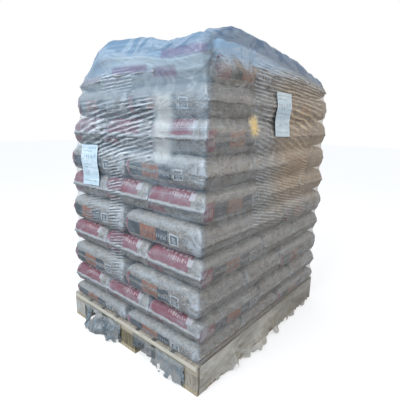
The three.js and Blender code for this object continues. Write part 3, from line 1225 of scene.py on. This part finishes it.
def filmMarks(tree):
    # Masks of the parts of the film, and the streaks and sharp creases that it has everywhere
    place, u, v = printPlace(tree)
    point = objectPoint(tree)
    on = SimpleNamespace(place=place, u=u, v=v, point=point, upward=facing(tree)[2])
    on.streaks = noise(stretched(place, (3, 40, 1)), 1.0, 4.0, 0.6, 0.6)
    on.creases = useGroup(creaseGroup, Vector=stretched(point, (1, 1, 1.6)), Scale=5.0)["Height"]
    on.front = remap(u, 2.17, 2.28)
    on.top = remap(v, 0.60, 1.35)
    height = timesPlus(on.creases, 0.03, v)
    on.beside = remap(height, 1.25, 1.31)
    on.hood = remap(timesPlus(on.front, 0.098, height), 1.49, 1.55)
    on.pastCorner = remap(timesPlus(on.creases, 0.08, u), 2.16, 2.40)
    on.besideLeft = times(on.beside, minus(1.0, on.pastCorner))
    on.gathered = calc("MAXIMUM", on.hood, on.besideLeft)
    # pale light caught on the sacks' shoulders, below the hood
    shoulder = times(remap(on.upward, 0.14, 0.60), minus(1.0, on.beside))
    on.shoulder = times(shoulder, remap(on.front, 0, 1, 0.26, 0.18))
    return on


def markRipples(on):
    ripples = useGroup(rippleGroup, Vector=on.place, Pitch=0.0155, Corner=2.2)["Height"]
    zone = None
    for box in filmLook["ripples"]:
        mask = softPatch(on.u, on.v, box, box[5])
        zone = mask if zone is None else calc("MAXIMUM", zone, mask)
    zone = times(zone, remap(noise(on.point, 5.0, 4.0), 0.30, 0.55, 0.45, 1.0))
    # painted highlight on the ripples' crests and painted shade in their troughs
    on.bright = times(remap(ripples, 0.46, 0.92), zone)
    dark = times(remap(ripples, 0.36, 0.12), zone)
    on.dark = times(dark, remap(on.front, 0, 1, 1.0, 0.6))
    on.lift = times(ripples, zone)


def filmDensity(on):
    leftLow, leftHigh, frontLow, frontHigh = filmLook["alphas"]
    low = timesPlus(on.front, frontLow - leftLow, leftLow)
    high = timesPlus(on.front, frontHigh - leftHigh, leftHigh)
    alpha = timesPlus(on.top, minus(high, low), low)
    marks = timesPlus(remap(on.streaks, 0.50, 0.72), 0.26, times(on.creases, 0.12))
    alpha = timesPlus(marks, timesPlus(on.top, 0.35, 0.65), alpha)
    left, front, over = filmLook["hoodAlphas"]
    high = timesPlus(on.pastCorner, front - left, left)
    high = plus(high, times(remap(on.v, 1.35, 1.42), remap(on.front, 0, 1, 0.24, 0.05)))
    alpha = mixValue(on.beside, alpha, calc("MAXIMUM", alpha, high))
    alpha = mixValue(on.hood, alpha, over)
    alpha = timesPlus(on.bright, 0.40, alpha)
    alpha = timesPlus(on.dark, 0.55, alpha)
    return plus(alpha, on.shoulder)


def sleeveColour(on):
    look = filmLook
    # painted light: the same film is tinted cool blue on the left face, where sky light falls, and neutral
    # grey on the front
    colour = mixColour(on.front, look["cool"], look["grey"])
    colour = mixColour(on.besideLeft, colour, look["cool"])
    return mixColour(times(on.shoulder, 1.6), colour, look["shoulder"])


def hoodColour(on):
    look = filmLook
    colour = mixColour(on.front, look["blue"], look["blueFront"])
    # painted shade: on the left the hood turns a darker blue where it faces up
    above = times(remap(on.upward, 0.10, 0.50), minus(1.0, on.front))
    colour = mixColour(above, colour, look["blueAbove"])
    # the front crest is darker, down to a line that falls away from the corner
    crest = timesPlus(on.creases, 0.02, timesPlus(on.u, 0.12, on.v))
    return mixColour(times(remap(crest, 1.790, 1.815), on.front), colour, look["slate"])


def underHood(on):
    # Painted light: the film that turns in below the hood's rim, on the left, is made pale blue where it
    # faces down
    under = times(remap(on.upward, -0.12, -0.50), on.gathered)
    under = times(under, remap(on.front, 0, 1, 0.85, 0.0))
    return times(under, remap(on.u, 1.45, 1.70, 0.15, 1.0))


def makeFilmMaterial():
    material, tree, surface = startMaterial("stretchFilm")
    look = filmLook
    on = filmMarks(tree)
    markRipples(on)
    veil = times(on.gathered, remap(timesPlus(on.front, 0.06, on.v), 1.35, 1.45))
    coat = {"alpha": filmDensity(on), "colour": mixColour(veil, sleeveColour(on), hoodColour(on))}

    def lay(mask, colour, denser=0.0):
        coat["colour"] = mixColour(mask, coat["colour"], colour)
        coat["alpha"] = timesPlus(mask, denser, coat["alpha"]) if denser else coat["alpha"]

    # painted light below the hood's rim
    lay(underHood(on), look["under"], 0.22)
    # whiter along streaks and creases: partly the film's own stress whitening, partly painted highlight
    lay(times(plus(remap(on.streaks, 0.55, 0.8), on.creases), 0.24, clamp=True), look["white"])
    for box in look["printPatches"]:
        lay(softPatch(on.u, on.v, box, 0.42), look["print"])
    # painted warm reflection: a warm tint and denser film over the front face's upper part
    warm = softPatch(on.u, on.v, look["warmPatch"], 0.85)
    lay(warm, look["warm"], 0.16)
    # painted highlight on the ripple crests, and painted shade in their troughs
    lay(on.bright, mixColour(warm, look["white"], look["warmRipple"]))
    lay(on.dark, look["dark"])
    lay(softPatch(on.u, on.v, look["palePatch"]), look["pale"], 0.46)
    # where the film is wound round the edge of the deck: the wood seen through it, and a painted highlight
    # along that lit edge
    lay(softPatch(on.u, on.v, look["deckPatch"]), look["deck"], 0.85)
    glint = softPatch(on.u, on.v, look["glintPatch"])
    lay(times(glint, remap(noise(on.point, 60.0, 2.0), 0.32, 0.58, 0.25, 1.0)), look["glint"], 1.0)
    sharp = bump(on.creases, 0.5, 0.004, bump(on.streaks, 0.5, 0.004))
    finish(surface, {
        "Base Color": coat["colour"],
        "Alpha": calc("MINIMUM", coat["alpha"], 0.93),
        "Roughness": 0.32,
        "Normal": bump(on.lift, 0.7, 0.005, sharp),
    })
    return material


filmMaterial = makeFilmMaterial()
film = makeFilm(filmMaterial)
print("film drawn over the load")


# Labels in clear pouches, lying against the film, with plain blocks for their print

labelForm = {
    "width": 0.148,
    "height": 0.210,
    "cells": (16, 24),
    "standOff": 0.0022,
    "round": 3,  # how often the surface is evened out
    "startOff": 0.75,  # from the middle of the load, well outside the film
    "stiffRounds": 40,  # how often the film's distance is evened out for the stiff sheet
    "places": {"label_end": ((-1, 0), 0.280, 0.949, 0.03), "label_side": ((0, -1), 0.020, 1.219, -0.02)},
    "paper": (0.52, 0.66, 0.74, 1),
    "print": (0.10, 0.15, 0.20, 1),
    # painted sheen of the clear pouch
    "pouchSheen": (0.80, 0.88, 0.92, 1),
    # lowest and highest u, lowest and highest v, blocks and seed of each row
    "rows": (
        (0.08, 0.92, 0.90, 0.95, 9, 2), (0.08, 0.70, 0.82, 0.87, 7, 12), (0.08, 0.52, 0.60, 0.78, 4, 21),
        (0.58, 0.92, 0.66, 0.78, 11, 34), (0.08, 0.92, 0.50, 0.54, 11, 47), (0.08, 0.60, 0.42, 0.46, 6, 56),
        (0.08, 0.46, 0.20, 0.36, 12, 63), (0.56, 0.92, 0.26, 0.32, 4, 71), (0.10, 0.85, 0.08, 0.13, 8, 83),
    ),
}


def makeLabelMaterial():
    form = labelForm
    material, tree, surface = startMaterial("labelPaper")
    _, u, v = printPlace(tree)
    colour = form["paper"]
    for lowU, highU, lowV, highV, count, seed in form["rows"]:
        mask = blockMask(u, (lowU, highU), v, (lowV, highV), count, seed)
        colour = mixColour(times(mask, 0.62), colour, form["print"])
    # painted sheen: pale blue-white patches, the clear pouch's reflection, over the label
    sheen = noise(stretched(objectPoint(tree), (14, 14, 60)), 1.0, 3.0)
    finish(surface, {
        "Base Color": mixColour(remap(sheen, 0.48, 0.66, 0.0, 0.55), colour, form["pouchSheen"]),
        "Roughness": 0.30,
        "Coat Weight": 0.5,
        "Normal": bump(sheen, 0.5, 0.004),
    })
    return material


def evenOut(values, rounds):
    for _ in range(rounds):
        padded = np.pad(values, 1, mode="edge")
        aboveBelow = padded[:-2, 1:-1] + padded[2:, 1:-1]
        beside = padded[1:-1, :-2] + padded[1:-1, 2:]
        values = (aboveBelow + beside + 2 * values) / 6
    return values


def makeLabel(node, tree, material):
    form = labelForm
    out, along, middle, lean = form["places"][node]
    out = np.array(out, dtype=float)
    sideways = np.array([-out[1], out[0]])
    columns, rows = form["cells"]
    label = addGrid(f"{node}_sheet", columns, rows)
    mesh = label.data
    grid = pointsOf(mesh)
    mesh.uv_layers[0].name = "printMap"
    a = grid[:, 0] * form["width"] / 2
    b = grid[:, 1] * form["height"] / 2
    a, b = a - b * lean, b + a * lean
    start = sideways * a[:, None] + np.abs(sideways) * along + out * form["startOff"]
    heights = middle + b
    off = np.zeros(len(grid))
    for i, (place, z) in enumerate(zip(start, heights)):
        hit = tree.ray_cast(Vector((*place, z)), Vector((*-out, 0)))
        off[i] = hit[3]
    column, row = gridPlaces(mesh, columns, rows)
    table = np.zeros((rows + 1, columns + 1))
    table[row, column] = off
    # a stiff sheet rests on the crests of the film
    smooth = evenOut(table, form["stiffRounds"])
    smooth -= (smooth - table).max() * 0.5
    smooth = evenOut(np.minimum(table, smooth), form["round"])
    smooth -= max(0.0, (smooth - table).max()) + form["standOff"]
    place = start - out * smooth[row, column][:, None]
    setPoints(mesh, np.column_stack([place, heights]))
    bpy.ops.object.shade_smooth()
    mesh.materials.append(material)
    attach(label, "root")
    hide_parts(node)
    return label


filmTree = searchTree([film])
labelMaterial = makeLabelMaterial()
for node in labelForm["places"]:
    makeLabel(node, filmTree, labelMaterial)
print("labels laid on")

# Loose film that trails from the wrap's lower edge: crumpled strips along the end of
# the pallet and one long skirt along its side. Each strip runs from "low" to "high" along
# its face, hangs from "top" to "bottom" and leans out by "reach". A hole is (y, z, radius)

looseFilm = {
    "film_tail_1": {
        "low": 0.165, "high": 0.378, "top": 0.121, "bottom": 0.003, "reach": 0.052, "crumple": 0.026,
        "cells": (42, 32), "flat": (0.24, 0.165), "holes": ((0.272, 0.088, 0.015), (0.298, 0.090, 0.015)),
    },
    "film_tail_2": {
        "low": 0.040, "high": 0.215, "top": 0.121, "bottom": 0.003, "reach": 0.030, "crumple": 0.020,
        "cells": (36, 24), "flat": (0.18, 0.13), "holes": ((0.150, 0.050, 0.006),),
    },
    "film_tail_3": {
        "low": -0.235, "high": -0.060, "top": 0.121, "bottom": 0.050, "reach": 0.010, "crumple": 0.012,
        "cells": (36, 16), "flat": (0.19, 0.08), "holes": (),
    },
    "film_tail_4": {
        "low": -0.425, "high": -0.205, "top": 0.121, "bottom": 0.014, "reach": 0.018, "crumple": 0.015,
        "cells": (44, 24), "flat": (0.25, 0.12), "holes": ((-0.272, 0.040, 0.014), (-0.300, 0.036, 0.015)),
    },
    "film_skirt": {
        "low": -0.592, "high": 0.585, "top": 0.150, "bottom": 0.006, "reach": 0.006, "crumple": 0.004,
        "cells": (150, 24), "flat": (1.20, 0.16), "holes": (),
    },
}
looseLook = {
    "tail": {
        "colour": (0.078, 0.124, 0.153, 1), "alpha": 0.62, "shade": 0.35, "streak": (1, 1, 1),
        "foldScale": 19.0, "foldStretch": (1, 1, 1),
    },
    "skirt": {
        "colour": (0.52, 0.48, 0.39, 1), "alpha": 0.58, "shade": 0.88, "streak": (0.22, 0.6, 0.6),
        "foldScale": 11.0, "foldStretch": (0.35, 1, 1),
    },
    # paler along creases: partly the film's whitening, partly painted highlight
    "crease": (0.62, 0.66, 0.68, 1),
    "farEnd": (0.14, 0.125, 0.10, 1),
    "midBandDark": (0.035, 0.045, 0.050, 1),
    "upperEdge": (0.62, 0.60, 0.54, 1),
    "standOff": 0.004,  # from the pallet, at the top
    "least": 0.005,  # how near the pallet a fold can come
    "lowest": 0.002,  # how near the floor
}
# where the skirt's lower edge swings out over the floor: (x, how far, half its width)
skirtWads = (
    (-0.34, 0.030, 0.030), (-0.23, 0.024, 0.022), (-0.14, 0.045, 0.050), (-0.07, 0.026, 0.030),
    (0.055, 0.038, 0.035), (0.20, 0.016, 0.040), (0.29, 0.018, 0.030), (0.45, 0.014, 0.030),
)


def crumpled(places, scale, seed):
    # Folded, branching displacement from a few octaves of noise
    moved = np.zeros_like(places)
    for i, place in enumerate(places):
        at = Vector(place) * scale + Vector((seed, seed * 0.7, 0))
        push = Vector((0, 0, 0))
        for octave in range(3):
            push += noise_vector(at * 2.0 ** octave) * 0.42 ** octave
        moved[i] = push
    return moved


def makeLooseFilm(node, material):
    form = looseFilm[node]
    isSkirt = node == "film_skirt"
    look = looseLook["skirt" if isSkirt else "tail"]
    columns, rows = form["cells"]
    strip = addGrid(f"{node}_sheet", columns, rows)
    mesh = strip.data
    grid = pointsOf(mesh)
    along = form["low"] + (form["high"] - form["low"]) * (grid[:, 0] + 1) / 2
    fall = (1 - grid[:, 1]) / 2
    seed = len(node) + ord(node[-1])
    ragged = 0.20 * np.sin(along * 60 + seed) * np.sin(along * 23 + 1) + 0.10 * np.sin(along * 140)
    fromEnd = np.minimum(along - form["low"], form["high"] - along)
    reach = form["reach"] * smoothStep(fall, 0, 0.9) * smoothStep(fromEnd, -0.02, 0.09)
    z = form["top"] - (form["top"] - form["bottom"]) * fall * (1 - np.clip(ragged, 0, 0.4))
    places = np.stack([along, looseLook["standOff"] + reach, z], 1)
    if isSkirt:
        for x, far, halfWidth in skirtWads:
            swing = far * np.exp(-((along - x) / halfWidth) ** 2)
            places[:, 1] += swing * smoothStep(fall, 0.25, 1.0)
    push = crumpled(places * look["foldStretch"], look["foldScale"], seed)
    loose = form["crumple"] * smoothStep(fall, 0.0, 0.35)[:, None]
    places += push * loose * (0.5, 1.0, 0.5)
    places[:, 1] = np.maximum(places[:, 1], looseLook["least"])
    places[:, 2] = np.clip(places[:, 2], looseLook["lowest"], form["top"])
    if isSkirt:
        places = np.column_stack([places[:, 0], -load["width"] / 2 - places[:, 1], places[:, 2]])
    else:
        places = np.column_stack([-load["length"] / 2 - places[:, 1], places[:, 0], places[:, 2]])
    setPoints(mesh, places)
    cutHoles(strip, form["holes"])
    bpy.ops.object.shade_smooth()
    mesh.materials.append(material)
    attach(strip, "root")
    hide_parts(node)
    return strip


def cutHoles(strip, holes):
    bpy.context.tool_settings.mesh_select_mode = (False, False, True)
    for y, z, radius in holes:
        selectFaces(strip, lambda face: math.hypot(face.center.y - y, face.center.z - z) < radius)
        bpy.ops.mesh.delete(type="FACE")
        bpy.ops.object.mode_set(mode="OBJECT")


def makeLooseMaterial(name, kind):
    look = looseLook
    strip = look[kind]
    material, tree, surface = startMaterial(name)
    point = stretched(objectPoint(tree), strip["streak"])
    x, y, z = axesOf(objectPoint(tree))
    creases = useGroup(creaseGroup, Vector=point, Scale=16.0)["Height"]
    broad = noise(point, 22.0, 4.0)
    darker = tuple(channel * strip["shade"] for channel in strip["colour"][:3]) + (1,)
    tone = mixColour(remap(broad, 0.35, 0.65), darker, strip["colour"])
    # paler along creases: partly the film's own whitening, partly painted highlight
    tone = mixColour(times(creases, 0.3), tone, look["crease"])
    tone = mixColour(remap(x, -0.45, 0.50, 0.0, 0.60), tone, look["farEnd"])
    # darker between y = -0.27 and -0.03, below the middle of the deck
    midBandDark = times(remap(y, -0.27, -0.21), remap(y, -0.03, -0.08))
    tone = mixColour(times(midBandDark, 0.6), tone, look["midBandDark"])
    upper = times(remap(z, 0.085, 0.115), 0.35)
    tone = mixColour(upper, tone, look["upperEdge"])
    clear = timesPlus(remap(broad, 0.3, 0.7), 0.3, strip["alpha"])
    finish(surface, {
        "Base Color": tone,
        "Alpha": plus(clear, times(creases, 0.2), clamp=True),
        "Roughness": 0.28,
        "Normal": bump(creases, 0.3, 0.004),
    })
    return material


looseMaterial = makeLooseMaterial("looseFilm", "tail")
skirtMaterial = makeLooseMaterial("skirtFilm", "skirt")
seed_set(3)  # so that noise_vector gives the same folds on each run
for node in looseFilm:
    makeLooseFilm(node, skirtMaterial if node == "film_skirt" else looseMaterial)
print("loose film hung")

# Pallet: its solids keep their meshes and get sawn wood


boardTones = (0.66, 0.56, 0.40, 1), (0.38, 0.29, 0.185, 1)
woodLook = {
    "worn": (0.23, 0.215, 0.19, 1),
    # scale of the texture along X, Y and Z, which is small along the fibres
    "grains": {"alongX": (5, 95, 95), "alongY": (95, 5, 95), "block": (70, 70, 14)},
    # material, grain, light and dark tone, and age of each kind of solid. Later kinds go
    # over earlier ones
    "kinds": {
        "deck_board": ("boardWood", "alongX", boardTones, 0.35),
        "bottom_board": ("runnerWood", "alongX", boardTones, 0.55),
        "stringer_board": ("crossWood", "alongY", boardTones, 0.35),
        "block": ("blockWood", "block", ((0.46, 0.42, 0.35, 1), (0.28, 0.24, 0.185, 1)), 0.4),
        "block_7": ("filmedBlockWood", "block", ((0.54, 0.53, 0.49, 1), (0.38, 0.37, 0.33, 1)), 0.1),
        # the middle block, in the shade under the deck: darker tones as painted shade
        "block_4": ("shadedBlockWood", "block", ((0.27, 0.235, 0.145, 1), (0.13, 0.11, 0.065, 1)), 0.2),
    },
}


def makeWoodMaterial(name, grainKind, tones, age):
    material, tree, surface = startMaterial(name)
    grain = woodLook["grains"][grainKind]
    light, dark = tones
    point = objectPoint(tree)
    spread = noise(point, 2.6, 2.0)
    fibres = noise(stretched(point, grain), 1.0, 6.0, 0.65, 0.4)
    rings = noise(stretched(point, tuple(size * 0.22 for size in grain)), 1.0, 2.0, 0.5, 1.4)
    banded = calc("FRACT", times(rings, 7.0))
    mixed = timesPlus(fibres, 0.65, times(banded, 0.30))
    colour = mixColour(remap(mixed, 0.28, 0.72), dark, light)
    worn = times(remap(spread, 0.38, 0.68), age)
    finish(surface, {
        "Base Color": mixColour(worn, colour, woodLook["worn"]),
        "Roughness": 0.78,
        "Normal": bump(mixed, 0.35, 0.002),
    })
    return material


woods = {part: makeWoodMaterial(*look) for part, look in woodLook["kinds"].items()}
for name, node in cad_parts.items():
    for part, wood in woods.items():
        if name.startswith(part):
            node.data.materials.clear()
            node.data.materials.append(wood)
print("wood finished")


# Floor and light

studio = {
    "floor": (0.48, 0.48, 0.48, 1),
    "floorGlow": 0.62,  # only as the camera sees it
    "air": (0.63, 0.68, 0.75, 1),
    "white": (1, 1, 1, 1),
    # place, target, size, power and colour
    "lights": {
        "keyLight": ((-2.8, 0.2, 3.4), (0, 0, 0.9), 2.2, 119, (0.88, 0.94, 1.0)),
        "warmLight": ((2.6, -3.0, 1.9), (0.2, 0, 0.9), 1.6, 34, (1.0, 0.83, 0.64)),
    },
}


def makeFloor():
    deselectAll()
    bpy.ops.mesh.primitive_plane_add(size=40, location=(0, 0, -0.0005))
    floor = bpy.context.object
    floor.name = "floor"
    material, tree, surface = startMaterial("paleFloor")
    isSeen = addNode(tree, "ShaderNodeLightPath")
    finish(surface, {
        "Base Color": studio["floor"],
        "Roughness": 0.9,
        "Emission Color": studio["white"],
        "Emission Strength": times(isSeen, studio["floorGlow"]),
    })
    floor.data.materials.append(material)


def makeAir():
    world = bpy.data.worlds.new("studio")
    bpy.context.scene.world = world
    world.use_nodes = True
    tree = world.node_tree
    isSeen = addNode(tree, "ShaderNodeLightPath")
    feed(mixColour(isSeen, studio["air"], studio["white"]), tree.nodes["Background"].inputs[0])
    bpy.context.scene.view_settings.view_transform = "Standard"


def softLight(name, place, target, size, power, colour):
    bpy.ops.object.light_add(type="AREA", location=place)
    light = bpy.context.object
    light.name = name
    light.data.size = size
    light.data.energy = power
    light.data.color = colour
    light.rotation_euler = (Vector(target) - Vector(place)).to_track_quat("-Z", "Y").to_euler()


makeFloor()
makeAir()
for name, values in studio["lights"].items():
    softLight(name, *values)
